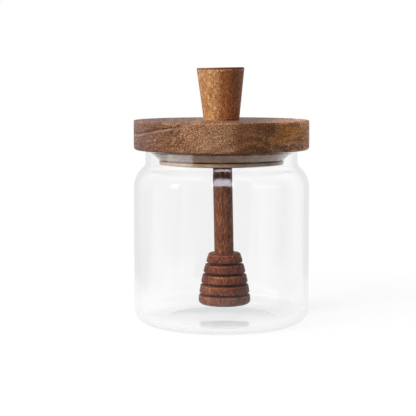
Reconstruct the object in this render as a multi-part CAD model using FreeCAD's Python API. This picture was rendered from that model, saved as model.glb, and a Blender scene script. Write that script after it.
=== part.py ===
"""Glass jar with a round wooden lid, whose knob, rod and grooved head make a honey dipper.

Millimetres, +Z up. The origin is the centre of the circle on which the jar stands, and the
front of the jar faces -Y. Every turned piece is one closed profile revolved about its axis.
"""

import math
import os

import FreeCAD
import Part

# ---------------------------------------------------------------- driving dimensions
# Overall
JAR_DIAMETER = 94.0
TOTAL_HEIGHT = 137.0
KNOB_HEIGHT = 28.3
LID_THICKNESS = 15.6

# Glass
GLASS_WALL = 2.4
GLASS_FLOOR = 2.9
SHOULDER_STEP = 6.2
NECK_HEIGHT = 6.7
SHOULDER_RADIUS = 14.0
NECK_FILLET = 4.0
HEEL_RADIUS = 8.0
PUSH_UP = 0.5
PUSH_UP_DIAMETER = 60.0
RIM_ROUNDING = 0.9

# Lid
LID_OVERHANG = 6.2
LID_TOP_ROUNDING = 0.5
LID_BOTTOM_ROUNDING = 1.4
PLUG_DEPTH = 8.0
PLUG_GAP = 6.7
PLUG_EDGE_ROUNDING = 0.3

# Seal ring stretched round the plug
SEAL_RISE = 0.3
SEAL_BAND_WALL = 1.8
SEAL_LIP_HEIGHT = 2.0
SEAL_LIP_ROUNDING = 0.6
SEAL_SLIT = 0.4
SEAL_SLIT_DEPTH = 0.8
SEAL_FIN_TIP = 0.7
SEAL_FIN_DROP = 0.6
SEAL_FIN_ROOT = 1.5
SEAL_CLEARANCE = 0.2

# Knob
KNOB_TOP_DIAMETER = 25.7
KNOB_BOTTOM_DIAMETER = 19.0
KNOB_TOP_ROUNDING = 0.7
KNOB_BOTTOM_ROUNDING = 0.3

# Rod, glued into the lid, the knob and the head
ROD_DIAMETER = 10.4
ROD_FIT = 0.05
KNOB_SOCKET_DEPTH = 14.0
HEAD_SOCKET_DEPTH = 12.0
DIPPER_LEAN = 1.1

# Dipper head
HEAD_HEIGHT = 27.6
HEAD_CLEARANCE = 9.7
HEAD_DISCS = 5
HEAD_BOTTOM_DIAMETER = 28.6
HEAD_TOP_DIAMETER = 16.9
HEAD_BULGE = 0.85
HEAD_SHIFT = 1.6
GROOVE_WIDTH = 1.3
GROOVE_DEPTH = 2.5
DISC_EDGE_ROUNDING = 0.45
HEAD_TOP_ROUNDING = 1.3
HEAD_BOTTOM_ROUNDING = 2.2

# ---------------------------------------------------------------- worked out from them
JAR_RADIUS = JAR_DIAMETER / 2
INNER_HEEL_RADIUS = HEEL_RADIUS - GLASS_WALL
NECK_RADIUS = JAR_RADIUS - SHOULDER_STEP
NECK_INNER_RADIUS = NECK_RADIUS - GLASS_WALL
LID_RADIUS = NECK_RADIUS + LID_OVERHANG
PLUG_RADIUS = NECK_INNER_RADIUS - PLUG_GAP
ROD_RADIUS = ROD_DIAMETER / 2
BORE_RADIUS = ROD_RADIUS + ROD_FIT

LID_TOP = TOTAL_HEIGHT - KNOB_HEIGHT
LID_BASE = LID_TOP - LID_THICKNESS
PLUG_BASE = LID_BASE - PLUG_DEPTH
SEAL_BASE = PLUG_BASE + SEAL_RISE
SEAL_RADIUS = PLUG_RADIUS + SEAL_BAND_WALL
HEAD_TOP = HEAD_CLEARANCE + HEAD_HEIGHT
DISC_PITCH = HEAD_HEIGHT / HEAD_DISCS

LEAN = math.radians(DIPPER_LEAN)
ROD_DIRECTION = FreeCAD.Vector(-math.sin(LEAN), 0, math.cos(LEAN))
ROD_PIVOT = FreeCAD.Vector(0, 0, LID_TOP)


# ---------------------------------------------------------------- helpers
def at(radius, height):
    """A point of a profile, which lies in the XZ plane."""
    return FreeCAD.Vector(radius, 0, height)


def line(start, end):
    """A straight edge between two profile points."""
    return Part.LineSegment(at(*start), at(*end)).toShape()


def arc(centre, radius, first, last):
    """An arc of a profile between two angles in degrees, 0 pointing outward and 90 up."""
    points = []
    for degrees in (first, (first + last) / 2, last):
        turn = math.radians(degrees)
        points.append(at(centre[0] + radius * math.cos(turn), centre[1] + radius * math.sin(turn)))
    return Part.Arc(*points).toShape()


def turned(edges):
    """The solid that a closed profile sweeps round the upright axis."""
    face = Part.Face(Part.Wire(Part.__sortEdges__(edges)))
    return face.revolve(FreeCAD.Vector(0, 0, 0), FreeCAD.Vector(0, 0, 1), 360)


def polygon(points):
    """The straight edges of a closed profile."""
    return [line(a, b) for a, b in zip(points, points[1:] + points[:1])]


def level_edges(solid, height):
    """The solid's edges that lie wholly at one height."""
    return [
        edge
        for edge in solid.Edges
        if abs(edge.BoundBox.ZMin - height) < 0.01 and abs(edge.BoundBox.ZMax - height) < 0.01
    ]


def circles_at(solid, radius, height):
    """The solid's level circular edges of one radius at one height, which get a rounding."""
    return [edge for edge in level_edges(solid, height) if abs(edge.BoundBox.XMax - radius) < 0.01]


def rounded(solid, radius, height, rounding):
    """The solid with its edge at this radius and height rounded."""
    return solid.makeFillet(rounding, circles_at(solid, radius, height))


def on_rod(height):
    """The point of the leaning rod's axis at a height."""
    return ROD_PIVOT + ROD_DIRECTION * ((height - LID_TOP) / ROD_DIRECTION.z)


def leaning_cylinder(radius, low, high):
    """A cylinder on the rod's axis, whose flat ends are centred at two heights."""
    start = on_rod(low)
    return Part.makeCylinder(radius, (on_rod(high) - start).Length, start, ROD_DIRECTION)


# ---------------------------------------------------------------- glass jar
def bell(inset):
    """The jar's side, from where its shoulder starts up to its rim, a wall's inset inward.

    The shoulder is an arc that bulges outward, and a smaller arc turns it into the neck.
    """
    centre = (JAR_RADIUS - SHOULDER_RADIUS, shoulder_height())
    reach = SHOULDER_RADIUS + NECK_FILLET
    fillet_centre = (NECK_RADIUS + NECK_FILLET, LID_BASE - NECK_HEIGHT)
    turn = math.degrees(math.acos((fillet_centre[0] - centre[0]) / reach))
    return [
        arc(centre, SHOULDER_RADIUS - inset, 0, turn),
        arc(fillet_centre, NECK_FILLET + inset, 180 + turn, 180),
        line((NECK_RADIUS - inset, fillet_centre[1]), (NECK_RADIUS - inset, LID_BASE)),
    ]


def shoulder_height():
    """The height at which the straight side turns into the shoulder."""
    across = NECK_RADIUS + NECK_FILLET - (JAR_RADIUS - SHOULDER_RADIUS)
    reach = SHOULDER_RADIUS + NECK_FILLET
    return LID_BASE - NECK_HEIGHT - math.sqrt(reach**2 - across**2)


def glass_jar():
    """One blown shell: pushed-up base, rounded heel, straight side, shoulder, neck and rim."""
    inner_radius = JAR_RADIUS - GLASS_WALL
    dome_radius = PUSH_UP_DIAMETER / 2
    dome_sphere = (dome_radius**2 + PUSH_UP**2) / (2 * PUSH_UP)
    dome_turn = math.degrees(math.asin(dome_radius / dome_sphere))
    edges = [
        arc((0, PUSH_UP - dome_sphere), dome_sphere, 90, 90 - dome_turn),
        line((dome_radius, 0), (JAR_RADIUS - HEEL_RADIUS, 0)),
        arc((JAR_RADIUS - HEEL_RADIUS, HEEL_RADIUS), HEEL_RADIUS, -90, 0),
        line((JAR_RADIUS, HEEL_RADIUS), (JAR_RADIUS, shoulder_height())),
        *bell(0),
        line((NECK_RADIUS, LID_BASE), (NECK_INNER_RADIUS, LID_BASE)),
        *bell(GLASS_WALL),
        line((inner_radius, shoulder_height()), (inner_radius, GLASS_FLOOR + INNER_HEEL_RADIUS)),
        arc(
            (inner_radius - INNER_HEEL_RADIUS, GLASS_FLOOR + INNER_HEEL_RADIUS),
            INNER_HEEL_RADIUS,
            0,
            -90,
        ),
        line((inner_radius - INNER_HEEL_RADIUS, GLASS_FLOOR), (0, GLASS_FLOOR)),
        line((0, GLASS_FLOOR), (0, PUSH_UP)),
    ]
    jar = turned(edges)
    jar = rounded(jar, NECK_RADIUS, LID_BASE, RIM_ROUNDING)
    return rounded(jar, NECK_INNER_RADIUS, LID_BASE, RIM_ROUNDING)


# ---------------------------------------------------------------- lid and seal
def lid():
    """A wooden disc on the rim, with a plug that hangs in the neck."""
    body = turned(
        polygon(
            [
                (0, PLUG_BASE),
                (PLUG_RADIUS, PLUG_BASE),
                (PLUG_RADIUS, LID_BASE),
                (LID_RADIUS, LID_BASE),
                (LID_RADIUS, LID_TOP),
                (0, LID_TOP),
            ]
        )
    )
    body = rounded(body, PLUG_RADIUS, PLUG_BASE, PLUG_EDGE_ROUNDING)
    body = rounded(body, LID_RADIUS, LID_BASE, LID_BOTTOM_ROUNDING)
    body = rounded(body, LID_RADIUS, LID_TOP, LID_TOP_ROUNDING)
    bore = leaning_cylinder(BORE_RADIUS, PLUG_BASE - ROD_DIAMETER, LID_TOP + ROD_DIAMETER)
    return body.cut(bore)


def seal_ring():
    """A soft ring round the plug: a rounded lip, a slit, and a thin fin that flares to the neck."""
    lip_top = SEAL_BASE + SEAL_LIP_HEIGHT
    slit_radius = SEAL_RADIUS - SEAL_SLIT_DEPTH
    fin_low = lip_top + SEAL_SLIT
    tip_radius = NECK_INNER_RADIUS - SEAL_CLEARANCE
    tip_top = LID_BASE - SEAL_FIN_DROP
    ring = turned(
        polygon(
            [
                (PLUG_RADIUS, SEAL_BASE),
                (SEAL_RADIUS, SEAL_BASE),
                (SEAL_RADIUS, lip_top),
                (slit_radius, lip_top),
                (slit_radius, fin_low),
                (SEAL_RADIUS, fin_low),
                (tip_radius, tip_top - SEAL_FIN_TIP),
                (tip_radius, tip_top),
                (SEAL_RADIUS, fin_low + SEAL_FIN_ROOT),
                (SEAL_RADIUS, LID_BASE),
                (PLUG_RADIUS, LID_BASE),
            ]
        )
    )
    ring = rounded(ring, SEAL_RADIUS, SEAL_BASE, SEAL_LIP_ROUNDING)
    return rounded(ring, SEAL_RADIUS, lip_top, SEAL_LIP_ROUNDING)


# ---------------------------------------------------------------- dipper
def knob():
    """A cone that widens upward along the leaning rod, cut square on top and flush on the lid.

    The rim is highest on the side away from the lean, and that point is at the total height.
    """
    spare = ROD_RADIUS
    top_radius = KNOB_TOP_DIAMETER / 2
    top = TOTAL_HEIGHT - (top_radius - KNOB_TOP_ROUNDING) * math.sin(LEAN)
    length = (on_rod(top) - on_rod(LID_TOP)).Length
    flare = (KNOB_TOP_DIAMETER - KNOB_BOTTOM_DIAMETER) / 2 / length
    foot_radius = KNOB_BOTTOM_DIAMETER / 2 - flare * spare
    foot = on_rod(LID_TOP) - ROD_DIRECTION * spare
    cone = Part.makeCone(foot_radius, top_radius, length + spare, foot, ROD_DIRECTION)
    corner = FreeCAD.Vector(-KNOB_TOP_DIAMETER, -KNOB_TOP_DIAMETER, LID_TOP)
    above_lid = Part.makeBox(2 * KNOB_TOP_DIAMETER, 2 * KNOB_TOP_DIAMETER, 2 * KNOB_HEIGHT, corner)
    body = cone.common(above_lid)
    rim = [edge for edge in body.Edges if edge.BoundBox.ZMin > LID_TOP + KNOB_HEIGHT / 2]
    body = body.makeFillet(KNOB_TOP_ROUNDING, rim)
    body = body.makeFillet(KNOB_BOTTOM_ROUNDING, level_edges(body, LID_TOP))
    return body.cut(leaning_cylinder(BORE_RADIUS, LID_TOP - spare, LID_TOP + KNOB_SOCKET_DEPTH))


def dipper_rod():
    """A straight dowel from the floor of the head's socket to the floor of the knob's."""
    return leaning_cylinder(ROD_RADIUS, HEAD_TOP - HEAD_SOCKET_DEPTH, LID_TOP + KNOB_SOCKET_DEPTH)


def head_radius(height):
    """The head's outline: a cone with a slight outward bulge, by height above the head's base."""
    along = height / HEAD_HEIGHT
    straight = HEAD_BOTTOM_DIAMETER + (HEAD_TOP_DIAMETER - HEAD_BOTTOM_DIAMETER) * along
    return straight / 2 + 4 * HEAD_BULGE * along * (1 - along)


def dipper_head():
    """A turned beehive of stacked discs, with a narrow groove under every disc but the last."""
    outline = [(0, HEAD_CLEARANCE)]
    corners = []
    for disc in range(HEAD_DISCS):
        low = disc * DISC_PITCH
        high = (disc + 1) * DISC_PITCH
        if disc > 0:
            low += GROOVE_WIDTH / 2
        if disc < HEAD_DISCS - 1:
            high -= GROOVE_WIDTH / 2
        for height in (low, high):
            outline.append((head_radius(height), HEAD_CLEARANCE + height))
            corners.append((head_radius(height), HEAD_CLEARANCE + height))
        if disc < HEAD_DISCS - 1:
            floor_radius = head_radius(high) - GROOVE_DEPTH
            outline.append((floor_radius, HEAD_CLEARANCE + high))
            outline.append((floor_radius, HEAD_CLEARANCE + high + GROOVE_WIDTH))
    outline.append((0, HEAD_TOP))
    head = turned(polygon(outline))
    for index, corner in enumerate(corners):
        rounding = DISC_EDGE_ROUNDING
        if index == 0:
            rounding = HEAD_BOTTOM_ROUNDING
        if index == len(corners) - 1:
            rounding = HEAD_TOP_ROUNDING
        head = rounded(head, *corner, rounding)
    head.translate(FreeCAD.Vector(HEAD_SHIFT, 0, 0))
    return head.cut(leaning_cylinder(BORE_RADIUS, HEAD_TOP - HEAD_SOCKET_DEPTH, HEAD_TOP + ROD_DIAMETER))


PIECES = {
    "glass_jar": glass_jar,
    "lid": lid,
    "seal_ring": seal_ring,
    "knob": knob,
    "dipper_rod": dipper_rod,
    "dipper_head": dipper_head,
}


def main():
    """Builds every piece, writes its STEP file and prints its volume."""
    os.makedirs("parts", exist_ok=True)
    for name, build in PIECES.items():
        shape = build()
        solids = shape.Solids
        if len(solids) != 1 or not solids[0].isValid():
            raise RuntimeError(f"{name} isn't one valid solid")
        solids[0].exportStep(f"parts/{name}.step")
        box = solids[0].BoundBox
        print(f"{name}: {solids[0].Volume / 1000:.2f} cm3, z {box.ZMin:.2f} to {box.ZMax:.2f}")


main()
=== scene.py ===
"""Honey jar with dipper: clear glass, a thick round wooden lid, and a turned wooden dipper.

Laid out as a Blender add-on and run as a script. Metres, +Z up, front towards -Y.
"""

import math

import bpy
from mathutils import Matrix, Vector


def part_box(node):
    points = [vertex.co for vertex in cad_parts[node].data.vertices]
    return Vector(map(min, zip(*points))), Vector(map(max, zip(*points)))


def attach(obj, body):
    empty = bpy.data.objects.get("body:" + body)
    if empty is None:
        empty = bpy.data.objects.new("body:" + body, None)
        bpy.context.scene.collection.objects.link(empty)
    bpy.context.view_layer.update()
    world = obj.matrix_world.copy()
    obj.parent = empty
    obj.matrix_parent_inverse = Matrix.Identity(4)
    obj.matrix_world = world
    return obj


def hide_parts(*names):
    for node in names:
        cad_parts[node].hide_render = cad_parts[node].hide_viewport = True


bl_info = {
    "name": "Honey jar with dipper",
    "version": (1, 0, 0),
    "blender": (4, 5, 0),
    "location": "View3D > Sidebar > Honey jar",
    "description": "Models a glass honey jar with a wooden lid and a turned dipper",
    "category": "Object",
}

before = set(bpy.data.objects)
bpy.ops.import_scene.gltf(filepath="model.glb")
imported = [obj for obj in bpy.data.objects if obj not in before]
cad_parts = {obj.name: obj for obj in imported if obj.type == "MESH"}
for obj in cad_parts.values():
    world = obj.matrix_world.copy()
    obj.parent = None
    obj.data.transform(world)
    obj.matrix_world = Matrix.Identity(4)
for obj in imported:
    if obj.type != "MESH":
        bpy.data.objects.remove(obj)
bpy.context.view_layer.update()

MM = 0.001

JAR_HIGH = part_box("glass_jar")[1]
LID_LOW, LID_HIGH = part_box("lid")
SEAL_LOW, SEAL_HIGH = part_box("seal_ring")
KNOB_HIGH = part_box("knob")[1]
HEAD_LOW, HEAD_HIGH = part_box("dipper_head")
LID_BASE = JAR_HIGH.z
LID_TOP = LID_HIGH.z
JAR_RADIUS = JAR_HIGH.x
LID_RADIUS = LID_HIGH.x

# Steps round each turned piece.
JAR_STEPS = 256
LID_STEPS = 192
HEAD_STEPS = 160
KNOB_STEPS = 128
ROD_STEPS = 96
# How far a drill reaches past a face, the gap round the rod, and how near points are merged.
DRILL_SPARE = 5 * MM
ROD_FIT = 0.05 * MM
WELD = 0.002 * MM

GLASS_IOR = 1.47
SILICONE_IOR = 1.41
# Glass turns plain clear for paths with this many bounces, or this many reflections.
LONG_PATH = 8
MANY_REFLECTIONS = 3

# The camera's lens and shifts frame the jar; its tilt looks slightly down.
CAMERA_LENS = 112.99
CAMERA_TILT = math.radians(4.096)
CAMERA_SHIFT = (-0.0325, -0.1)
FLOOR_RADIUS = 1.0

LAMP_SIZE = 0.3
AIM_HEIGHT = 0.07
# Strengths of what shiny surfaces mirror: the left panel, its trace on the floor, and a spot.
PANEL_STRENGTH = 2.0
FLOOR_PANEL_STRENGTH = 0.3
SPOT_STRENGTH = 3.5
# Pale stripes in the room: turn, half width and soft edge in degrees, and strength.
STRIPES = ((52.0, 4.0, 5.0, 0.22), (-50.0, 3.0, 3.0, 0.26), (-80.0, 18.0, 5.0, 0.3))
OVERHEAD_COLOUR = (6.4, 6.0, 7.0)
INSIDE_GREY = (0.8, 0.8, 0.8)


def srgb(red, green, blue):
    """A colour given as 0 to 255 on a screen, in the linear values that shaders take."""
    channels = [value / 255 for value in (red, green, blue)]
    return tuple(c / 12.92 if c <= 0.04045 else ((c + 0.055) / 1.055) ** 2.4 for c in channels)


# ---------------------------------------------------------------- sizes and colours
def length(name, text, default):
    """A size that a user can change."""
    return bpy.props.FloatProperty(
        name=name, description=text, default=default, unit="LENGTH", precision=5
    )


def number(name, text, default, subtype="NONE"):
    """A plain number or an angle that a user can change."""
    return bpy.props.FloatProperty(name=name, description=text, default=default, subtype=subtype)


def colour(name, text, default):
    """A colour that a user can change."""
    return bpy.props.FloatVectorProperty(
        name=name, description=text, default=default, subtype="COLOR", size=3, min=0, max=1
    )


class GlassSizes(bpy.types.PropertyGroup):
    """Sizes and tint of the blown glass shell."""

    wall: length("Wall", "Thickness of the side, the shoulder and the neck", 2.4 * MM)
    floor: length("Floor", "Thickness of the base at its outer ring", 2.9 * MM)
    neck_inset: length("Neck inset", "How far the neck stands in from the side", 6.2 * MM)
    neck_height: length("Neck height", "Straight part of the neck under the rim", 6.7 * MM)
    shoulder: length("Shoulder", "Radius of the rounded shoulder", 14 * MM)
    neck_fillet: length("Neck fillet", "Radius that turns the shoulder into the neck", 4 * MM)
    heel: length("Heel", "Outer radius round the foot", 8 * MM)
    push_up: length("Push-up", "Height of the dome under the base", 0.5 * MM)
    push_up_radius: length("Push-up radius", "Radius of the dome under the base", 30 * MM)
    rim: length("Rim", "Rounding of the rim's two edges", 0.9 * MM)
    tint: colour("Tint", "Colour of the glass", (0.996, 0.996, 0.995))


class LidSizes(bpy.types.PropertyGroup):
    """Sizes of the wooden lid and of the seal ring stretched round its plug."""

    top_round: length("Top edge", "Rounding of the upper edge", 0.5 * MM)
    bottom_round: length("Bottom edge", "Rounding of the lower edge", 1.4 * MM)
    plug_radius: length("Plug radius", "Radius of the plug", 31.7 * MM)
    plug_round: length("Plug edge", "Rounding under the plug", 0.3 * MM)
    band: length("Seal band", "Thickness of the seal's band", 1.8 * MM)
    lip_height: length("Lip height", "Height of the seal's rounded lip", 2.0 * MM)
    lip_round: length("Lip edge", "Rounding of the seal's lip", 0.6 * MM)
    slit: length("Slit", "Height of the slit over the lip", 0.4 * MM)
    slit_depth: length("Slit depth", "Depth of the slit", 0.8 * MM)
    fin_tip: length("Fin tip", "Thickness of the fin at its edge", 0.7 * MM)
    fin_drop: length("Fin drop", "How far the fin's edge lies under the lid", 0.6 * MM)
    fin_root: length("Fin root", "Thickness of the fin at the band", 1.5 * MM)


class DipperSizes(bpy.types.PropertyGroup):
    """Sizes of the knob, the rod and the grooved head."""

    lean: number("Lean", "Lean of the knob and the rod", math.radians(1.1), "ANGLE")
    knob_top: length("Knob top", "Radius of the knob's top", 12.85 * MM)
    knob_bottom: length("Knob bottom", "Radius of the knob's foot", 9.5 * MM)
    knob_round: length("Knob edge", "Rounding round the knob's top", 0.7 * MM)
    rod: length("Rod", "Radius of the rod", 5.2 * MM)
    socket: length("Head socket", "Depth of the rod in the head", 12 * MM)
    knob_socket: length("Knob socket", "Depth of the rod in the knob", 14 * MM)
    head_bottom: length("Head bottom", "Radius of the outline at the head's base", 14.3 * MM)
    head_top: length("Head top", "Radius of the outline at the head's top", 8.45 * MM)
    bulge: length("Bulge", "Outward bulge of the head's outline", 0.85 * MM)
    discs: bpy.props.IntProperty(
        name="Discs", description="Number of discs in the head", default=5, min=2
    )
    groove: length("Groove", "Width of a groove", 1.3 * MM)
    groove_depth: length("Groove depth", "Depth of a groove", 2.5 * MM)
    disc_round: length("Disc edge", "Rounding of a disc's edges", 0.45 * MM)
    head_top_round: length("Head top edge", "Rounding round the head's top", 1.3 * MM)
    head_bottom_round: length("Head bottom edge", "Rounding round the head's base", 2.2 * MM)


class StageLook(bpy.types.PropertyGroup):
    """The studio round the jar."""

    distance: length("Distance", "How far the camera stands from the jar's axis", 0.7)
    height: length("Height", "Height of the camera above the floor", 0.1339)
    dome: number("Dome", "Strength of the soft room light", 0.45)
    key: number("Key", "Power of the soft lamp on the left", 7.0)
    fill: number("Fill", "Power of the weak lamp on the right", 0.9)


# ---------------------------------------------------------------- outlines
def arc(centre, radius, first, last, steps=8):
    """Points of an arc of an outline, between two angles in degrees: 0 outward, 90 up."""
    points = []
    for index in range(steps + 1):
        turn = math.radians(first + (last - first) * index / steps)
        points.append((centre[0] + radius * math.cos(turn), centre[1] + radius * math.sin(turn)))
    return points


def rounded(corners, steps=5):
    """An outline through corners (radius, height, rounding), each corner turned into an arc."""
    outline = []
    for index, (radius, height, rounding) in enumerate(corners):
        here = Vector((radius, height))
        if rounding == 0:
            outline.append((radius, height))
            continue
        before = (Vector(corners[index - 1][:2]) - here).normalized()
        after = (Vector(corners[(index + 1) % len(corners)][:2]) - here).normalized()
        half = before.angle(after) / 2
        middle = here + (before + after).normalized() * rounding / math.sin(half)
        start = here + before * rounding / math.tan(half) - middle
        sweep = start.angle_signed(here + after * rounding / math.tan(half) - middle)
        for part in range(steps + 1):
            turn = -sweep * part / steps
            across = start.x * math.cos(turn) - start.y * math.sin(turn)
            up = start.x * math.sin(turn) + start.y * math.cos(turn)
            outline.append((middle.x + across, middle.y + up))
    return outline


def supported(outline, longest=0.5 * MM, near=0.08 * MM):
    """An outline with a point close to each end of its long straights, so that they shade flat."""
    points = [outline[0]]
    for start, end in zip(outline, outline[1:]):
        first, last = Vector(start), Vector(end)
        if (last - first).length > longest:
            along = (last - first).normalized() * near
            points.append(tuple(first + along))
            points.append(tuple(last - along))
        points.append(end)
    return points


# ---------------------------------------------------------------- modelling
def deselect():
    """Leaves nothing selected, so that an operator acts on the new piece alone."""
    bpy.ops.object.select_all(action="DESELECT")


def pick(piece):
    """Selects a piece and nothing else, and makes it the active one."""
    deselect()
    piece.select_set(True)
    bpy.context.view_layer.objects.active = piece


def turned(name, outline, steps):
    """Spins an outline of (radius, height) points round the upright axis into a closed piece."""
    outline = supported(outline)
    deselect()
    bpy.ops.mesh.primitive_plane_add(size=MM)
    piece = bpy.context.object
    piece.name = name
    piece.data.name = name
    bpy.ops.object.mode_set(mode="EDIT")
    bpy.ops.mesh.select_all(action="SELECT")
    bpy.ops.mesh.merge(type="CENTER")
    bpy.ops.transform.translate(value=(outline[0][0], 0, outline[0][1]))
    for start, end in zip(outline, outline[1:]):
        move = (end[0] - start[0], 0, end[1] - start[1])
        bpy.ops.mesh.extrude_vertices_move(TRANSFORM_OT_translate={"value": move})
    bpy.ops.mesh.select_all(action="SELECT")
    bpy.ops.mesh.spin(steps=steps, angle=2 * math.pi, center=(0, 0, 0), axis=(0, 0, 1))
    bpy.ops.mesh.select_all(action="SELECT")
    bpy.ops.mesh.remove_doubles(threshold=WELD)
    bpy.ops.mesh.normals_make_consistent(inside=False)
    bpy.ops.object.mode_set(mode="OBJECT")
    return piece


def rod_direction():
    """The direction of the leaning rod, upward."""
    angle = bpy.context.scene.dipper_sizes.lean
    return Vector((-math.sin(angle), 0, math.cos(angle)))


def on_rod(height):
    """The point of the rod's axis at a height. The axis meets the jar's axis at the lid's top."""
    direction = rod_direction()
    return Vector((0, 0, LID_TOP)) + direction * ((height - LID_TOP) / direction.z)


def lean(piece):
    """Tips a piece that stands on the jar's axis over to the rod's lean."""
    pick(piece)
    bpy.ops.object.mode_set(mode="EDIT")
    bpy.ops.mesh.select_all(action="SELECT")
    angle = bpy.context.scene.dipper_sizes.lean
    bpy.ops.transform.rotate(value=angle, orient_axis="Y", center_override=(0, 0, LID_TOP))
    bpy.ops.object.mode_set(mode="OBJECT")


def bored(piece, low, high):
    """Cuts the rod's leaning hole out of a piece, between two heights."""
    radius = bpy.context.scene.dipper_sizes.rod + ROD_FIT
    middle = (0, 0, (low + high) / 2)
    deselect()
    bpy.ops.mesh.primitive_cylinder_add(
        vertices=ROD_STEPS, radius=radius, depth=high - low, location=middle
    )
    drill = bpy.context.object
    bpy.ops.object.transform_apply(location=True, rotation=True, scale=True)
    lean(drill)
    pick(piece)
    cut = piece.modifiers.new("Bore", "BOOLEAN")
    cut.operation = "DIFFERENCE"
    cut.solver = "EXACT"
    cut.object = drill
    bpy.ops.object.modifier_apply(modifier=cut.name)
    bpy.data.objects.remove(drill)


def finished(piece, node, material, smooth=30):
    """Smooths a piece, gives it its material and puts it in its node's place on the body."""
    pick(piece)
    bpy.ops.object.transform_apply(location=True, rotation=True, scale=True)
    bpy.ops.object.shade_smooth_by_angle(angle=math.radians(smooth))
    piece.data.materials.clear()
    piece.data.materials.append(material)
    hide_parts(node)
    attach(piece, "root")


# ---------------------------------------------------------------- shader helpers
def feed(tree, socket, value):
    """Links a socket to another socket, or sets it to a plain value."""
    if isinstance(value, bpy.types.NodeSocket):
        tree.links.new(value, socket)
    elif isinstance(value, (tuple, list)) and len(value) == 3 and socket.type == "RGBA":
        socket.default_value = (*value, 1)
    else:
        socket.default_value = value


def calc(tree, operation, first, second=0.0, third=0.0):
    """A Math node's result."""
    node = tree.nodes.new("ShaderNodeMath")
    node.operation = operation
    for socket, value in zip(node.inputs, (first, second, third)):
        feed(tree, socket, value)
    return node.outputs[0]


def vector_calc(tree, operation, first, second):
    """A Vector Math node's vector. The second input is a vector, or a number for SCALE."""
    node = tree.nodes.new("ShaderNodeVectorMath")
    node.operation = operation
    feed(tree, node.inputs[0], first)
    feed(tree, node.inputs["Scale" if operation == "SCALE" else 1], second)
    return node.outputs["Vector"]


def blend(tree, share, first, second, mode="MIX"):
    """Two colours mixed by a share."""
    node = tree.nodes.new("ShaderNodeMix")
    node.data_type = "RGBA"
    node.blend_type = mode
    feed(tree, node.inputs[0], share)
    feed(tree, node.inputs[6], first)
    feed(tree, node.inputs[7], second)
    return node.outputs[2]


def times(tree, first, second):
    """Two values multiplied."""
    return calc(tree, "MULTIPLY", first, second)


def plus(tree, first, second):
    """Two values added."""
    return calc(tree, "ADD", first, second)


def inverse(tree, share):
    """1 less a share."""
    return calc(tree, "SUBTRACT", 1.0, share)


def at_least(tree, count, least):
    """1 where a whole number is at least another, and 0 elsewhere."""
    return calc(tree, "GREATER_THAN", count, least - 0.5)


def split(tree, vector):
    """The X, Y and Z of a vector."""
    node = tree.nodes.new("ShaderNodeSeparateXYZ")
    tree.links.new(vector, node.inputs[0])
    return node.outputs


def noise(tree, vector, scale, detail=2.0, roughness=0.5, distortion=0.0):
    """A noise texture's value, about 0.5."""
    node = tree.nodes.new("ShaderNodeTexNoise")
    feed(tree, node.inputs["Vector"], vector)
    feed(tree, node.inputs["Scale"], scale)
    feed(tree, node.inputs["Detail"], detail)
    feed(tree, node.inputs["Roughness"], roughness)
    feed(tree, node.inputs["Distortion"], distortion)
    return node.outputs["Fac"]


def step(tree, value, low, high):
    """A smooth step from 0 at low to 1 at high."""
    node = tree.nodes.new("ShaderNodeMapRange")
    node.interpolation_type = "SMOOTHSTEP"
    feed(tree, node.inputs["Value"], value)
    feed(tree, node.inputs["From Min"], low)
    feed(tree, node.inputs["From Max"], high)
    return node.outputs["Result"]


def band(tree, value, centre, half, soft):
    """1 within half of centre, falling to 0 over soft on each side."""
    away = calc(tree, "ABSOLUTE", calc(tree, "SUBTRACT", value, centre))
    return inverse(tree, step(tree, away, half, half + soft))


def mapped(tree, turn=(0, 0, 0), shift=(0, 0, 0)):
    """Object coordinates in millimetres, turned and then shifted."""
    coordinate = tree.nodes.new("ShaderNodeTexCoord")
    node = tree.nodes.new("ShaderNodeMapping")
    node.inputs["Scale"].default_value = (1 / MM,) * 3
    node.inputs["Location"].default_value = shift
    node.inputs["Rotation"].default_value = turn
    tree.links.new(coordinate.outputs["Object"], node.inputs["Vector"])
    return node.outputs["Vector"]


def new_material(name):
    """A material with only a Principled shader and an output, which are both returned."""
    material = bpy.data.materials.new(name)
    material.use_nodes = True
    tree = material.node_tree
    tree.nodes.clear()
    output = tree.nodes.new("ShaderNodeOutputMaterial")
    shader = tree.nodes.new("ShaderNodeBsdfPrincipled")
    tree.links.new(shader.outputs["BSDF"], output.inputs["Surface"])
    return material, tree, shader, output


def add_sockets(tree, side, kind, labels):
    """Gives a node group sockets of one kind on its input or output side."""
    for label in labels:
        tree.interface.new_socket(label, in_out=side, socket_type=kind)


# ---------------------------------------------------------------- wood
WOOD_TONES = ("Pale", "Middle", "Dark")
WOOD_VALUES = (
    "Ring Width",
    "Ring Contrast",
    "Fibre Width",
    "Fibre Contrast",
    "Fleck Contrast",
    "Pore Width",
    "Pore Depth",
    "Mottle Width",
    "Mottle Contrast",
    "Warp",
    "Stretch",
)


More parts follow.
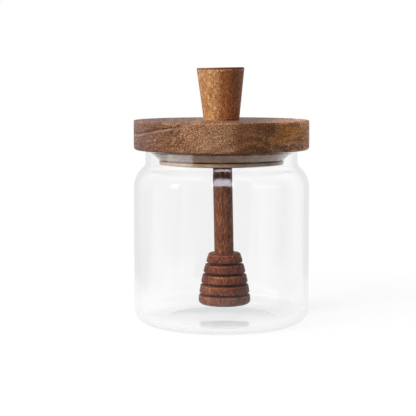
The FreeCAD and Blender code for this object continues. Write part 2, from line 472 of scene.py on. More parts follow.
def wood_group():
    """Wood in millimetres, with its fibres along Z: rings, fibres, pores, flecks and mottling."""
    name = "Wood grain"
    if name in bpy.data.node_groups:
        return bpy.data.node_groups[name]
    tree = bpy.data.node_groups.new(name, "ShaderNodeTree")
    add_sockets(tree, "INPUT", "NodeSocketVector", ("Vector",))
    add_sockets(tree, "INPUT", "NodeSocketColor", WOOD_TONES)
    add_sockets(tree, "INPUT", "NodeSocketFloat", WOOD_VALUES)
    add_sockets(tree, "OUTPUT", "NodeSocketColor", ("Color",))
    add_sockets(tree, "OUTPUT", "NodeSocketFloat", ("Roughness", "Height"))

    given = tree.nodes.new("NodeGroupInput").outputs
    along = tree.nodes.new("ShaderNodeCombineXYZ")
    along.inputs["X"].default_value = 1
    along.inputs["Y"].default_value = 1
    tree.links.new(given["Stretch"], along.inputs["Z"])
    stretched = vector_calc(tree, "MULTIPLY", given["Vector"], along.outputs[0])

    drift = tree.nodes.new("ShaderNodeTexNoise")
    drift.inputs["Scale"].default_value = 0.045
    drift.inputs["Detail"].default_value = 2
    tree.links.new(stretched, drift.inputs["Vector"])
    centred = vector_calc(tree, "SUBTRACT", drift.outputs["Color"], (0.5, 0.5, 0.5))
    warped = vector_calc(tree, "ADD", stretched, vector_calc(tree, "SCALE", centred, given["Warp"]))

    across = split(tree, warped)
    squares = plus(tree, times(tree, across["X"], across["X"]), times(tree, across["Y"], across["Y"]))
    from_pith = calc(tree, "SQRT", squares)
    years = tree.nodes.new("ShaderNodeTexNoise")
    years.noise_dimensions = "1D"
    years.inputs["Scale"].default_value = 1
    years.inputs["Detail"].default_value = 3
    tree.links.new(calc(tree, "DIVIDE", from_pith, given["Ring Width"]), years.inputs["W"])

    def per(amount, width):
        """A noise's scale, from the width of its marks."""
        return calc(tree, "DIVIDE", amount, given[width])

    def swing(value, contrast):
        """A noise's swing about its middle, times a contrast."""
        return times(tree, calc(tree, "MULTIPLY_ADD", value, 3.0, -1.5), contrast)

    fibre = noise(tree, stretched, per(1.0, "Fibre Width"), 3, 0.65)
    fleck = noise(tree, given["Vector"], per(1.1, "Fibre Width"), 2, 0.7)
    mottle = noise(tree, given["Vector"], per(1.0, "Mottle Width"), 3, 0.55, 0.4)
    pores = noise(tree, stretched, per(1.0, "Pore Width"), 1, 0.5)
    pores = step(tree, pores, 0.54, 0.64)

    tone = plus(tree, swing(years.outputs["Fac"], given["Ring Contrast"]), 0.5)
    tone = plus(tree, tone, swing(fibre, given["Fibre Contrast"]))
    tone = plus(tree, tone, swing(fleck, given["Fleck Contrast"]))
    tone = plus(tree, tone, swing(mottle, given["Mottle Contrast"]))
    low = blend(tree, step(tree, tone, 0.0, 0.5), given["Pale"], given["Middle"])
    body = blend(tree, step(tree, tone, 0.5, 1.0), low, given["Dark"])
    body = blend(tree, times(tree, pores, given["Pore Depth"]), body, given["Dark"])

    rough = calc(tree, "MULTIPLY_ADD", pores, 0.2, 0.5)
    rough = plus(tree, rough, swing(fibre, 0.08))
    height = calc(tree, "MULTIPLY_ADD", pores, -0.7, times(tree, fibre, 0.6))
    outside = tree.nodes.new("NodeGroupOutput").inputs
    tree.links.new(body, outside["Color"])
    tree.links.new(rough, outside["Roughness"])
    tree.links.new(height, outside["Height"])
    return tree


def new_wood(name, colours, values, grain, relief=0.05):
    """A material with the wood group in it. What its finer marks need is returned with it.

    grain is the turn and the shift of the wood's pith, and relief is in millimetres.
    """
    material, tree, shader, _ = new_material(name)
    group = tree.nodes.new("ShaderNodeGroup")
    group.node_tree = wood_group()
    tree.links.new(mapped(tree, *grain), group.inputs["Vector"])
    for label, value in zip(WOOD_TONES, colours):
        feed(tree, group.inputs[label], value)
    for label, value in values.items():
        group.inputs[label].default_value = value
    bump = tree.nodes.new("ShaderNodeBump")
    bump.inputs["Distance"].default_value = relief * MM
    bump.inputs["Strength"].default_value = 1.0
    tree.links.new(group.outputs["Height"], bump.inputs["Height"])
    tree.links.new(bump.outputs["Normal"], shader.inputs["Normal"])
    tree.links.new(group.outputs["Roughness"], shader.inputs["Roughness"])
    tree.links.new(group.outputs["Color"], shader.inputs["Base Color"])
    shader.inputs["Specular IOR Level"].default_value = 0.3
    return material, tree, shader, group.outputs["Color"], split(tree, mapped(tree))


def tinted(tree, share, base, tint):
    """A colour multiplied by a tint, by a share."""
    return blend(tree, share, base, tint, "MULTIPLY")


def wandering(tree, value, noisy, swing):
    """A value pushed to and fro by a noise, by up to half a swing each way."""
    return calc(tree, "MULTIPLY_ADD", noisy, swing, calc(tree, "SUBTRACT", value, swing / 2))


def lid_zones(tree, base, x_mm, z_mm, left, right):
    """The lid's broad zones: painted shade and a painted purplish sheen at the left, a dark heart,
    painted light over the right end, and an amber patch at the right.
    """
    foot_mm = LID_BASE / MM
    # Painted shade darkens the left end.
    shade = tinted(tree, left, base, (0.62, 0.56, 0.52))

    # Painted sheen: a purplish grey reflection laid over the left end.
    painted_left_sheen = inverse(tree, step(tree, x_mm, -44.0, -27.0))
    shade = tinted(tree, painted_left_sheen, shade, (1.0, 1.03, 1.3))
    shade = blend(tree, times(tree, painted_left_sheen, 0.4), shade, srgb(120, 92, 86))

    heart = band(tree, x_mm, 16.0, 6.0, 7.0)
    shade = tinted(tree, heart, shade, (0.62, 0.51, 0.42))
    # Painted light brightens the right end.
    shade = tinted(tree, right, shade, (2.1, 2.1, 2.1))

    amber = times(tree, band(tree, x_mm, 37.5, 8.0, 6.0), band(tree, z_mm, foot_mm + 9.7, 2.6, 3.2))
    shade = tinted(tree, amber, shade, (1.2, 0.9, 0.42))
    shade = blend(tree, times(tree, amber, 0.45), shade, srgb(182, 124, 58))

    foot = times(tree, band(tree, x_mm, 36.0, 5.0, 6.0), band(tree, z_mm, foot_mm + 2.4, 0.8, 2.2))
    return tinted(tree, foot, shade, (0.5, 0.42, 0.38))


def lid_lines(tree, shade, place, slope, left, right):
    """The lid's sloping lines and streaks, and a painted highlight along its upper edge."""
    top_mm = LID_TOP / MM
    dark_line = times(tree, band(tree, slope, top_mm + 3.5, 0.25, 0.5), left)
    shade = tinted(tree, dark_line, shade, (0.6, 0.5, 0.5))
    pale_line = times(tree, band(tree, slope, top_mm + 2.3, 0.3, 0.6), left)
    shade = blend(tree, times(tree, pale_line, 0.35), shade, srgb(190, 158, 140))

    drawn_out = tree.nodes.new("ShaderNodeCombineXYZ")
    for axis in ("X", "Y"):
        tree.links.new(times(tree, place[axis], 0.06), drawn_out.inputs[axis])
    tree.links.new(slope, drawn_out.inputs["Z"])
    streak = noise(tree, drawn_out.outputs[0], 0.9, 3, 0.65)
    ends = calc(tree, "MAXIMUM", times(tree, left, 0.4), right)
    dark_streak = times(tree, step(tree, streak, 0.5, 0.62), ends)
    shade = tinted(tree, dark_streak, shade, (0.5, 0.42, 0.42))
    pale_streak = times(tree, inverse(tree, step(tree, streak, 0.34, 0.46)), ends)
    shade = blend(tree, times(tree, pale_streak, 0.3), shade, srgb(206, 172, 148))

    # Painted highlight on the rounding of the upper edge.
    painted_edge_highlight = band(tree, place["Z"], top_mm - 0.55, 0.25, 0.25)
    return tinted(tree, painted_edge_highlight, shade, (1.5, 1.45, 1.4))


def lid_wood():
    """A slab with its fibres front to back: stippled end grain in front, streaks at the sides."""
    colours = (srgb(226, 178, 136), srgb(152, 106, 76), srgb(68, 38, 25))
    values = {
        "Ring Width": 2.4,
        "Ring Contrast": 0.17,
        "Fibre Width": 0.55,
        "Fibre Contrast": 0.9,
        "Fleck Contrast": 0.4,
        "Pore Width": 0.55,
        "Pore Depth": 0.4,
        "Mottle Width": 9.0,
        "Mottle Contrast": 0.16,
        "Warp": 8.0,
        "Stretch": 0.06,
    }
    grain = ((math.radians(90), 0, 0), (-14, 62, 0))
    material, tree, shader, base, place = new_wood("Lid wood", colours, values, grain, 0.12)
    wander = noise(tree, mapped(tree), 0.12, 3, 0.6)
    x_mm = wandering(tree, place["X"], wander, 16.0)
    z_mm = wandering(tree, place["Z"], wander, 6.0)
    # The left end, which gets painted shade and a painted sheen, and the right end, which gets painted
    # light. Both also place the lid's lines.
    left = inverse(tree, step(tree, x_mm, -30.0, -6.0))
    right = step(tree, x_mm, 22.0, 38.0)
    shade = lid_zones(tree, base, x_mm, z_mm, left, right)

    slope = calc(tree, "MULTIPLY_ADD", place["X"], -0.22, place["Z"])
    slope = wandering(tree, slope, wander, 3.0)
    ragged = noise(tree, mapped(tree, *grain), 1.2, 2, 0.6)
    slope = wandering(tree, slope, ragged, 0.9)
    shade = lid_lines(tree, shade, place, slope, left, right)
    tree.links.new(shade, shader.inputs["Base Color"])
    return material


def knob_wood(lean_angle):
    """Golden, finely mottled wood, with painted shade that darkens and reddens it to the right, painted
    glints under its top, a painted contact shadow at its foot, and a dark line round its top.
    """
    colours = (srgb(253, 210, 150), srgb(182, 126, 79), srgb(88, 46, 24))
    values = {
        "Ring Width": 2.2,
        "Ring Contrast": 0.12,
        "Fibre Width": 0.6,
        "Fibre Contrast": 0.3,
        "Fleck Contrast": 0.62,
        "Pore Width": 0.5,
        "Pore Depth": 0.2,
        "Mottle Width": 2.4,
        "Mottle Contrast": 0.24,
        "Warp": 4.0,
        "Stretch": 0.35,
    }
    grain = ((0, 0, 0), (9, 16, 0))
    material, tree, shader, base, place = new_wood("Knob wood", colours, values, grain, 0.1)
    # Painted shade, with some of the wood's own redder tone: darker and redder to the right.
    red = step(tree, place["X"], -5.0, 2.0)
    shade = tinted(tree, red, base, (0.67, 0.48, 0.42))

    top_mm = KNOB_HIGH.z / MM
    height = calc(tree, "MULTIPLY_ADD", place["X"], -math.tan(lean_angle), place["Z"])
    # Painted highlights: a row of glints just under the top's rounding.
    painted_glints = step(tree, noise(tree, mapped(tree), 0.9, 1, 0.5), 0.5, 0.62)
    painted_glints = times(tree, painted_glints, band(tree, height, top_mm - 1.7, 0.3, 0.3))
    shade = blend(tree, times(tree, painted_glints, 0.5), shade, srgb(240, 206, 170))

    # Painted shadow where the knob meets the lid, on its right side.
    foot_mm = LID_TOP / MM
    foot = inverse(tree, step(tree, place["Z"], foot_mm + 0.3, foot_mm + 0.9))
    foot = times(tree, foot, step(tree, place["X"], -3.0, 4.0))
    shade = tinted(tree, foot, shade, (0.4, 0.32, 0.3))

    rim = band(tree, height, top_mm - 0.8, 0.3, 0.2)
    shade = blend(tree, times(tree, rim, 0.75), shade, srgb(104, 50, 36))
    tree.links.new(shade, shader.inputs["Base Color"])
    return material


def rod_wood():
    """Dark reddish-brown wood with upright streaks."""
    colours = (srgb(188, 126, 88), srgb(128, 70, 42), srgb(58, 25, 15))
    values = {
        "Ring Width": 1.6,
        "Ring Contrast": 0.1,
        "Fibre Width": 0.55,
        "Fibre Contrast": 0.7,
        "Fleck Contrast": 0.35,
        "Pore Width": 0.5,
        "Pore Depth": 0.35,
        "Mottle Width": 5.0,
        "Mottle Contrast": 0.22,
        "Warp": 2.0,
        "Stretch": 0.18,
    }
    grain = ((0, 0, 0), (21, 7, 3))
    material, _, shader, _, _ = new_wood("Rod wood", colours, values, grain)
    shader.inputs["Specular IOR Level"].default_value = 0.4
    return material


def head_wood(pitch, groove):
    """Reddish-brown wood, with painted shade that makes the grooves nearly black and a painted highlight
    along each disc's upper edge.
    """
    colours = (srgb(178, 110, 80), srgb(118, 58, 37), srgb(56, 21, 13))
    values = {
        "Ring Width": 2.4,
        "Ring Contrast": 0.2,
        "Fibre Width": 0.5,
        "Fibre Contrast": 0.75,
        "Fleck Contrast": 0.4,
        "Pore Width": 0.5,
        "Pore Depth": 0.3,
        "Mottle Width": 6.0,
        "Mottle Contrast": 0.3,
        "Warp": 3.0,
        "Stretch": 0.2,
    }
    grain = ((0, 0, 0), (5, 24, 8))
    material, tree, shader, base, place = new_wood("Head wood", colours, values, grain, 0.06)
    above = calc(tree, "SUBTRACT", place["Z"], HEAD_LOW.z / MM)
    within = calc(tree, "PINGPONG", above, pitch / 2 / MM)
    phase = calc(tree, "MODULO", above, pitch / MM)
    middle = band(tree, above, (HEAD_HIGH.z - HEAD_LOW.z) / 2 / MM, 11.0, 1.0)
    # Painted shade makes the grooves nearly black.
    cut = times(tree, calc(tree, "LESS_THAN", within, groove / 2 / MM - 0.05), middle)
    shade = tinted(tree, cut, base, (0.38, 0.25, 0.22))
    # Painted highlight along each disc's upper edge.
    edge = band(tree, phase, (pitch - groove / 2) / MM - 0.45, 0.2, 0.25)
    shade = tinted(tree, edge, shade, (1.7, 1.7, 1.7))
    tree.links.new(shade, shader.inputs["Base Color"])
    shader.inputs["Specular IOR Level"].default_value = 0.45
    return material


# ---------------------------------------------------------------- glass and silicone
def clear_glass(tint):
    """Clear glass. Lamps shine through it unbent, so that what stands inside is lit."""
    material, tree, shader, output = new_material("Clear glass")
    shader.inputs["Base Color"].default_value = (*tint, 1)
    shader.inputs["Roughness"].default_value = 0.0
    shader.inputs["IOR"].default_value = GLASS_IOR
    shader.inputs["Transmission Weight"].default_value = 1.0
    through = tree.nodes.new("ShaderNodeBsdfTransparent")
    through.inputs["Color"].default_value = (0.93, 0.94, 0.94, 1)
    path = tree.nodes.new("ShaderNodeLightPath").outputs
    lighting = calc(tree, "MAXIMUM", path["Is Shadow Ray"], path["Is Diffuse Ray"])
    long_path = at_least(tree, path["Ray Depth"], LONG_PATH)
    often_mirrored = at_least(tree, path["Glossy Depth"], MANY_REFLECTIONS)
    worn_out = calc(tree, "MAXIMUM", long_path, often_mirrored)
    mix = tree.nodes.new("ShaderNodeMixShader")
    tree.links.new(calc(tree, "MAXIMUM", lighting, worn_out), mix.inputs[0])
    tree.links.new(shader.outputs["BSDF"], mix.inputs[1])
    tree.links.new(through.outputs["BSDF"], mix.inputs[2])
    tree.links.new(mix.outputs["Shader"], output.inputs["Surface"])
    return material


def silicone():
    """Translucent grey silicone, with painted shade in its slit, a pale lip and faint moulding waves."""
    material, tree, shader, _ = new_material("Seal silicone")
    vector = mapped(tree)
    cloud = noise(tree, vector, 0.2, 2, 0.5)
    tint = blend(tree, step(tree, cloud, 0.35, 0.65), srgb(234, 169, 116), srgb(208, 141, 90))
    above = calc(tree, "SUBTRACT", split(tree, vector)["Z"], SEAL_LOW.z / MM)
    lip = inverse(tree, step(tree, above, 1.8, 2.0))
    tint = tinted(tree, lip, tint, (1.15, 1.65, 2.5))
    # Painted shade: the slit darkened nearly to black.
    slit = band(tree, above, 2.3, 0.35, 0.2)
    tint = tinted(tree, slit, tint, (0.06, 0.045, 0.04))
    tree.links.new(tint, shader.inputs["Base Color"])
    shader.inputs["Roughness"].default_value = 0.12
    shader.inputs["Coat Weight"].default_value = 0.45
    shader.inputs["Coat Roughness"].default_value = 0.06
    shader.inputs["IOR"].default_value = SILICONE_IOR
    shader.inputs["Transmission Weight"].default_value = 0.18
    ripple = tree.nodes.new("ShaderNodeBump")
    ripple.inputs["Distance"].default_value = 0.015 * MM
    tree.links.new(noise(tree, vector, 0.8, 2, 0.5), ripple.inputs["Height"])
    tree.links.new(ripple.outputs["Normal"], shader.inputs["Normal"])
    return material


# ---------------------------------------------------------------- pieces
def bell(sizes, inset):
    """The jar's side from the shoulder's start to just under the rim, a wall's inset inward."""
    neck = JAR_RADIUS - sizes.neck_inset
    centre_x = JAR_RADIUS - sizes.shoulder
    reach = sizes.shoulder + sizes.neck_fillet
    across = neck + sizes.neck_fillet - centre_x
    fillet_height = LID_BASE - sizes.neck_height
    centre = (centre_x, fillet_height - math.sqrt(reach**2 - across**2))
    turn = math.degrees(math.acos(across / reach))
    fillet = (neck + sizes.neck_fillet, fillet_height)
    shoulder = arc(centre, sizes.shoulder - inset, 0, turn, 14)
    throat = arc(fillet, sizes.neck_fillet + inset, 180 + turn, 180, 8)
    return shoulder + throat[1:]


def glass_outline(sizes):
    """The closed outline of the glass shell, from the middle of its base round to its floor."""
    inner = JAR_RADIUS - sizes.wall
    neck = JAR_RADIUS - sizes.neck_inset
    sphere = (sizes.push_up_radius**2 + sizes.push_up**2) / (2 * sizes.push_up)
    turn = math.degrees(math.asin(sizes.push_up_radius / sphere))
    dome = arc((0, sizes.push_up - sphere), sphere, 90, 90 - turn, 10)
    heel = arc((JAR_RADIUS - sizes.heel, sizes.heel), sizes.heel, -90, 0, 14)
    mouth_radius = neck - sizes.wall
    rim = arc((neck - sizes.rim, LID_BASE - sizes.rim), sizes.rim, 0, 90, 6)
    rim += arc((mouth_radius + sizes.rim, LID_BASE - sizes.rim), sizes.rim, 90, 180, 6)
    inner_round = sizes.heel - sizes.wall
    inner_heel = arc((inner - inner_round, sizes.floor + inner_round), inner_round, 0, -90, 14)
    floor = [(0, sizes.floor)]
    return dome + heel + bell(sizes, 0) + rim + bell(sizes, sizes.wall)[::-1] + inner_heel + floor


def build_glass():
    """The blown glass shell, as one closed surface."""
    sizes = bpy.context.scene.glass_sizes
    jar = turned("glass_jar_clear", glass_outline(sizes), JAR_STEPS)
    finished(jar, "glass_jar", clear_glass(sizes.tint), smooth=60)


def build_lid():
    """The wooden disc, with its plug and the bore for the rod."""
    sizes = bpy.context.scene.lid_sizes
    plug_base = LID_LOW.z
    outline = rounded(
        [
            (0, plug_base, 0),
            (sizes.plug_radius, plug_base, sizes.plug_round),
            (sizes.plug_radius, LID_BASE, 0),
            (LID_RADIUS, LID_BASE, sizes.bottom_round),
            (LID_RADIUS, LID_TOP, sizes.top_round),
            (0, LID_TOP, 0),
        ]
    )
    lid = turned("wooden_lid", outline, LID_STEPS)
    bored(lid, plug_base - DRILL_SPARE, LID_TOP + DRILL_SPARE)
    finished(lid, "lid", lid_wood())


def build_seal():
    """The seal ring: a rounded lip, a slit, and a thin fin that flares to the neck."""
    sizes = bpy.context.scene.lid_sizes
    inner = sizes.plug_radius
    outer = inner + sizes.band
    base = SEAL_LOW.z
    lip_top = base + sizes.lip_height
    slit_top = lip_top + sizes.slit
    tip_top = LID_BASE - sizes.fin_drop
    soft = 0.12 * MM
    ring = [
        (inner, base, 0),
        (outer, base, sizes.lip_round),
        (outer, lip_top, sizes.lip_round),
        (outer - sizes.slit_depth, lip_top, soft),
        (outer - sizes.slit_depth, slit_top, soft),
        (outer, slit_top, soft),
        (SEAL_HIGH.x, tip_top - sizes.fin_tip, soft),
        (SEAL_HIGH.x, tip_top, soft),
        (outer, slit_top + sizes.fin_root, soft),
        (outer, LID_BASE, soft),
        (inner, LID_BASE, 0),
    ]
    outline = rounded(ring, steps=4)
    seal = turned("seal_ring_silicone", outline + outline[:1], LID_STEPS)
    finished(seal, "seal_ring", silicone())


def build_knob():
    """The flared knob: a cone tipped to the rod's lean, cut flush on the lid and bevelled on top."""
    sizes = bpy.context.scene.dipper_sizes
    spare = sizes.rod
    top = on_rod(KNOB_HIGH.z - (sizes.knob_top - sizes.knob_round) * math.sin(sizes.lean))
    height = (top - on_rod(LID_TOP)).length
    flare = (sizes.knob_top - sizes.knob_bottom) / height
    outline = rounded(
        [
            (0, LID_TOP - spare, 0),
            (sizes.knob_bottom - flare * spare, LID_TOP - spare, 0),
            (sizes.knob_top, LID_TOP + height, sizes.knob_round),
            (0, LID_TOP + height, 0),
        ]
    )
    knob = turned("knob_turned", outline, KNOB_STEPS)
    lean(knob)
    bpy.ops.object.mode_set(mode="EDIT")
    bpy.ops.mesh.select_all(action="SELECT")
    foot = (0, 0, LID_TOP)
    bpy.ops.mesh.bisect(plane_co=foot, plane_no=(0, 0, 1), use_fill=True, clear_inner=True)
    bpy.ops.object.mode_set(mode="OBJECT")
    bored(knob, LID_TOP - spare, LID_TOP + sizes.knob_socket)
    finished(knob, "knob", knob_wood(sizes.lean))


def build_rod():
    """The leaning dowel from the head's socket to the knob's, with softened ends."""
    sizes = bpy.context.scene.dipper_sizes
    low = HEAD_HIGH.z - sizes.socket
    high = LID_TOP + sizes.knob_socket
    stretch = 1 / rod_direction().z
    low_end = LID_TOP + (low - LID_TOP) * stretch
    high_end = LID_TOP + (high - LID_TOP) * stretch
    soft = 0.3 * MM
    outline = rounded(
        [
            (0, low_end, 0),
            (sizes.rod, low_end, soft),
            (sizes.rod, high_end, soft),
            (0, high_end, 0),
        ]
    )
    rod = turned("dipper_rod_turned", outline, ROD_STEPS)
    lean(rod)
    finished(rod, "dipper_rod", rod_wood())


def head_radius(sizes, height, total):
    """The head's outline by height above its base: a cone with a slight outward bulge."""
    along = height / total
    straight = sizes.head_bottom + (sizes.head_top - sizes.head_bottom) * along
    return straight + 4 * sizes.bulge * along * (1 - along)


def build_head():
    """The turned beehive of stacked discs, with a narrow groove between each two."""
    sizes = bpy.context.scene.dipper_sizes
    total = HEAD_HIGH.z - HEAD_LOW.z
    pitch = total / sizes.discs
    corners = [(0, HEAD_LOW.z, 0)]
    for disc in range(sizes.discs):
        first, last = disc == 0, disc == sizes.discs - 1
        low = disc * pitch + (0 if first else sizes.groove / 2)
        high = (disc + 1) * pitch - (0 if last else sizes.groove / 2)
        low_round = sizes.head_bottom_round if first else sizes.disc_round
        high_round = sizes.head_top_round if last else sizes.disc_round
        corners.append((head_radius(sizes, low, total), HEAD_LOW.z + low, low_round))
        corners.append((head_radius(sizes, high, total), HEAD_LOW.z + high, high_round))
        if not last:
            bottom = head_radius(sizes, high, total) - sizes.groove_depth
            corners.append((bottom, HEAD_LOW.z + high, 0))
            corners.append((bottom, HEAD_LOW.z + high + sizes.groove, 0))
    corners.append((0, HEAD_HIGH.z, 0))
    head = turned("dipper_head_turned", rounded(corners), HEAD_STEPS)
    pick(head)
    bpy.ops.transform.translate(value=((HEAD_LOW.x + HEAD_HIGH.x) / 2, 0, 0))
    bpy.ops.object.transform_apply(location=True, rotation=True, scale=True)
    bored(head, HEAD_HIGH.z - sizes.socket, HEAD_HIGH.z + DRILL_SPARE)
    finished(head, "dipper_head", head_wood(pitch, sizes.groove))


# ---------------------------------------------------------------- stage
def soft_lamp(name, place, power):
    """A square soft lamp at a place, turned to the jar. It lights, but isn't mirrored."""
    lamp = bpy.data.lights.new(name, "AREA")
    lamp.shape = "SQUARE"
    lamp.size = LAMP_SIZE
    lamp.energy = power
    holder = bpy.data.objects.new(name, lamp)
    holder.location = place
    aim = Vector((0, 0, AIM_HEIGHT)) - Vector(place)
    holder.rotation_euler = aim.to_track_quat("-Z", "Y").to_euler()
    holder.visible_glossy = False
    holder.visible_transmission = False
    bpy.context.scene.collection.objects.link(holder)


def surroundings_group():
    """What shiny surfaces mirror: a dim room in front, soft panels, and pale all round behind.

    Turn is in degrees from the front, positive to the right, and rise is in degrees upward. Panel
    and Spot are strengths, and Tall makes the left panel tall.
    """
    name = "Studio surroundings"
    if name in bpy.data.node_groups:
        return bpy.data.node_groups[name]
    tree = bpy.data.node_groups.new(name, "ShaderNodeTree")
    add_sockets(tree, "INPUT", "NodeSocketVector", ("Vector",))
    add_sockets(tree, "INPUT", "NodeSocketFloat", ("Panel", "Spot", "Tall"))
    add_sockets(tree, "OUTPUT", "NodeSocketColor", ("Color",))
    given = tree.nodes.new("NodeGroupInput").outputs
    way = split(tree, given["Vector"])
    front = times(tree, way["Y"], -1.0)
    turn = calc(tree, "DEGREES", calc(tree, "ARCTAN2", way["X"], front))
    squares = plus(tree, times(tree, front, front), times(tree, way["X"], way["X"]))
    level = calc(tree, "SQRT", squares)
    rise = calc(tree, "DEGREES", calc(tree, "ARCTAN2", way["Z"], level))

    away = calc(tree, "ABSOLUTE", calc(tree, "SUBTRACT", turn, -8.0))
    tone = calc(tree, "MULTIPLY_ADD", step(tree, away, 85.0, 130.0), 0.67, 0.15)
    tone = calc(tree, "MULTIPLY_ADD", step(tree, rise, 45.0, 85.0), 0.4, tone)
    for centre, half, soft, strength in STRIPES:
        tone = calc(tree, "MULTIPLY_ADD", band(tree, turn, centre, half, soft), strength, tone)

    narrow = band(tree, rise, -3.8, 0.5, 0.4)
    tall = times(tree, band(tree, rise, -6.0, 12.0, 6.0), given["Tall"])
    panel = times(tree, band(tree, turn, -67.5, 22.0, 3.0), calc(tree, "MAXIMUM", narrow, tall))
    tone = calc(tree, "MULTIPLY_ADD", panel, given["Panel"], tone)
    spot = times(tree, band(tree, turn, -66.0, 3.0, 6.0), band(tree, rise, 22.0, 4.0, 7.0))
    tone = calc(tree, "MULTIPLY_ADD", spot, given["Spot"], tone)
    overhead = times(tree, band(tree, turn, 2.0, 11.0, 9.0), band(tree, rise, 48.0, 13.0, 6.0))
    total = blend(tree, 1.0, blend(tree, overhead, (0, 0, 0), OVERHEAD_COLOUR), tone, "ADD")
    tree.links.new(total, tree.nodes.new("NodeGroupOutput").inputs["Color"])
    return tree


def mirrored(tree, vector, panel, path):
    """The surroundings as a material or a world shows them to a mirrored path.

    Only paths from outside the glass see the spot, and only paths from behind it see the panel
    tall. Light turned back more than once inside the glass sees pale grey at least.
    """
    group = tree.nodes.new("ShaderNodeGroup")
    group.node_tree = surroundings_group()
    tree.links.new(vector, group.inputs["Vector"])
    group.inputs["Panel"].default_value = panel
    through = at_least(tree, path["Transmission Depth"], 1)
    tree.links.new(times(tree, inverse(tree, through), SPOT_STRENGTH), group.inputs["Spot"])
    tree.links.new(at_least(tree, path["Transmission Depth"], 3), group.inputs["Tall"])
    inside = times(tree, at_least(tree, path["Glossy Depth"], 2), through)
    return blend(tree, inside, group.outputs["Color"], INSIDE_GREY, "LIGHTEN")


def build_world(strength):
    """A white room to the eye and through glass, soft panels in reflections, and a soft dome."""
    world = bpy.data.worlds.new("Studio")
    bpy.context.scene.world = world
    world.use_nodes = True
    tree = world.node_tree
    tree.nodes.clear()
    path = tree.nodes.new("ShaderNodeLightPath").outputs
    way = tree.nodes.new("ShaderNodeTexCoord").outputs["Generated"]
    reflected = at_least(tree, path["Glossy Depth"], 1)
    eye = tree.nodes.new("ShaderNodeBackground")
    eye.inputs["Strength"].default_value = 1
    seen = blend(tree, reflected, (1, 1, 1), mirrored(tree, way, PANEL_STRENGTH, path))
    tree.links.new(seen, eye.inputs["Color"])

    right = step(tree, split(tree, way)["X"], -0.9, 0.9)
    dome = tree.nodes.new("ShaderNodeBackground")
    tree.links.new(blend(tree, right, (1, 1, 1), (0.3, 0.3, 0.3)), dome.inputs["Color"])
    dome.inputs["Strength"].default_value = strength
    mix = tree.nodes.new("ShaderNodeMixShader")
    direct = inverse(tree, at_least(tree, path["Diffuse Depth"], 1))
    tree.links.new(direct, mix.inputs[0])
    tree.links.new(dome.outputs[0], mix.inputs[1])
    tree.links.new(eye.outputs[0], mix.inputs[2])
    output = tree.nodes.new("ShaderNodeOutputWorld")
    tree.links.new(mix.outputs[0], output.inputs["Surface"])


def floor_material():
    """Plain white paper, which still takes a soft shadow near the jar."""
    material, tree, shader, output = new_material("White floor")
    shader.inputs["Roughness"].default_value = 1
    shader.inputs["Specular IOR Level"].default_value = 0
    place = tree.nodes.new("ShaderNodeTexCoord").outputs["Object"]
    away = tree.nodes.new("ShaderNodeVectorMath")
    away.operation = "LENGTH"
    tree.links.new(place, away.inputs[0])
    far = step(tree, away.outputs["Value"], 0.05, 0.25)
    tree.links.new(blend(tree, far, (0.3, 0.3, 0.3), (0, 0, 0)), shader.inputs["Base Color"])

    path = tree.nodes.new("ShaderNodeLightPath").outputs
    reflected = at_least(tree, path["Glossy Depth"], 1)
    white = calc(tree, "MULTIPLY_ADD", far, 0.2, 0.8)
    white = calc(tree, "MULTIPLY_ADD", reflected, -0.06, white)
    beyond = times(tree, reflected, step(tree, away.outputs["Value"], 0.1, 0.2))
    room = mirrored(tree, place, FLOOR_PANEL_STRENGTH, path)
    glow = tree.nodes.new("ShaderNodeEmission")
    tree.links.new(blend(tree, beyond, white, room), glow.inputs["Color"])
    direct = inverse(tree, at_least(tree, path["Diffuse Depth"], 1))
    tree.links.new(direct, glow.inputs["Strength"])
    both = tree.nodes.new("ShaderNodeAddShader")
    tree.links.new(shader.outputs["BSDF"], both.inputs[0])
    tree.links.new(glow.outputs[0], both.inputs[1])
    tree.links.new(both.outputs[0], output.inputs["Surface"])
    return material


def build_stage():
    """The white floor, the lamps, the room and the camera."""
    look = bpy.context.scene.stage_look
    deselect()
    bpy.ops.mesh.primitive_circle_add(vertices=96, radius=FLOOR_RADIUS, fill_type="NGON")
    floor = bpy.context.object
    floor.name = "floor"
    floor.data.materials.append(floor_material())
    build_world(look.dome)
    soft_lamp("key", (-0.62, -0.55, 0.42), look.key)
    soft_lamp("fill", (0.75, -0.12, 0.3), look.fill)

    camera = bpy.data.cameras.new("camera")
    camera.sensor_width = 36
    camera.lens = CAMERA_LENS
    camera.clip_start = 0.01
    camera.clip_end = 50
    camera.shift_x, camera.shift_y = CAMERA_SHIFT
    holder = bpy.data.objects.new("camera", camera)
    holder.location = (0, -look.distance, look.height)
    holder.rotation_euler = (math.radians(90) - CAMERA_TILT, 0, 0)
    bpy.context.scene.collection.objects.link(holder)
    bpy.context.scene.camera = holder
    bpy.context.scene.view_settings.view_transform = "Standard"


# ---------------------------------------------------------------- operators and panel
class HONEY_OT_glass(bpy.types.Operator):
    """Models the clear glass jar"""

    bl_idname = "honey.glass"
    bl_label = "Glass jar"

    def execute(self, context):
        build_glass()
        return {"FINISHED"}


class HONEY_OT_lid(bpy.types.Operator):
    """Models the wooden lid with its plug"""

    bl_idname = "honey.lid"
    bl_label = "Wooden lid"

    def execute(self, context):
        build_lid()
        return {"FINISHED"}


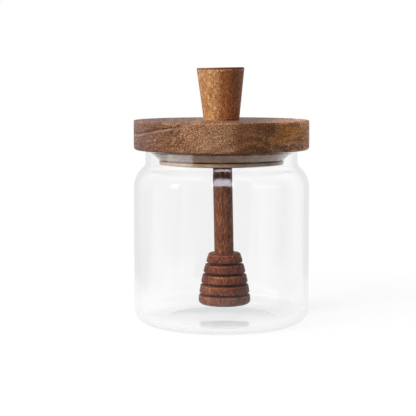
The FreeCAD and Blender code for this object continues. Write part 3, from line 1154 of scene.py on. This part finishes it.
class HONEY_OT_seal(bpy.types.Operator):
    """Models the silicone seal ring under the lid"""

    bl_idname = "honey.seal"
    bl_label = "Seal ring"

    def execute(self, context):
        build_seal()
        return {"FINISHED"}


class HONEY_OT_dipper(bpy.types.Operator):
    """Models the knob, the rod and the grooved head"""

    bl_idname = "honey.dipper"
    bl_label = "Dipper"

    def execute(self, context):
        build_knob()
        build_rod()
        build_head()
        return {"FINISHED"}


class HONEY_OT_stage(bpy.types.Operator):
    """Sets up the floor, the lamps and the camera"""

    bl_idname = "honey.stage"
    bl_label = "Studio"

    def execute(self, context):
        build_stage()
        return {"FINISHED"}


class HONEY_PT_panel(bpy.types.Panel):
    """Lists the jar's sizes and the operators that model it"""

    bl_idname = "HONEY_PT_panel"
    bl_label = "Honey jar"
    bl_space_type = "VIEW_3D"
    bl_region_type = "UI"
    bl_category = "Honey jar"

    def draw(self, context):
        for group, sizes in SETTINGS.items():
            box = self.layout.box()
            for prop in sizes.__annotations__:
                box.prop(getattr(context.scene, group), prop)
        for step_class in STEPS:
            self.layout.operator(step_class.bl_idname)


SETTINGS = {
    "glass_sizes": GlassSizes,
    "lid_sizes": LidSizes,
    "dipper_sizes": DipperSizes,
    "stage_look": StageLook,
}
STEPS = (HONEY_OT_glass, HONEY_OT_lid, HONEY_OT_seal, HONEY_OT_dipper, HONEY_OT_stage)


def register():
    """Registers the settings, the operators and the panel."""
    for group, sizes in SETTINGS.items():
        bpy.utils.register_class(sizes)
        setattr(bpy.types.Scene, group, bpy.props.PointerProperty(type=sizes))
    for item in (*STEPS, HONEY_PT_panel):
        bpy.utils.register_class(item)


def unregister():
    """Takes them away again."""
    for item in (HONEY_PT_panel, *reversed(STEPS)):
        bpy.utils.unregister_class(item)
    for group, sizes in SETTINGS.items():
        delattr(bpy.types.Scene, group)
        bpy.utils.unregister_class(sizes)


def main():
    register()
    bpy.ops.honey.glass()
    bpy.ops.honey.lid()
    bpy.ops.honey.seal()
    bpy.ops.honey.dipper()
    bpy.ops.honey.stage()


if __name__ == "__main__":
    main()
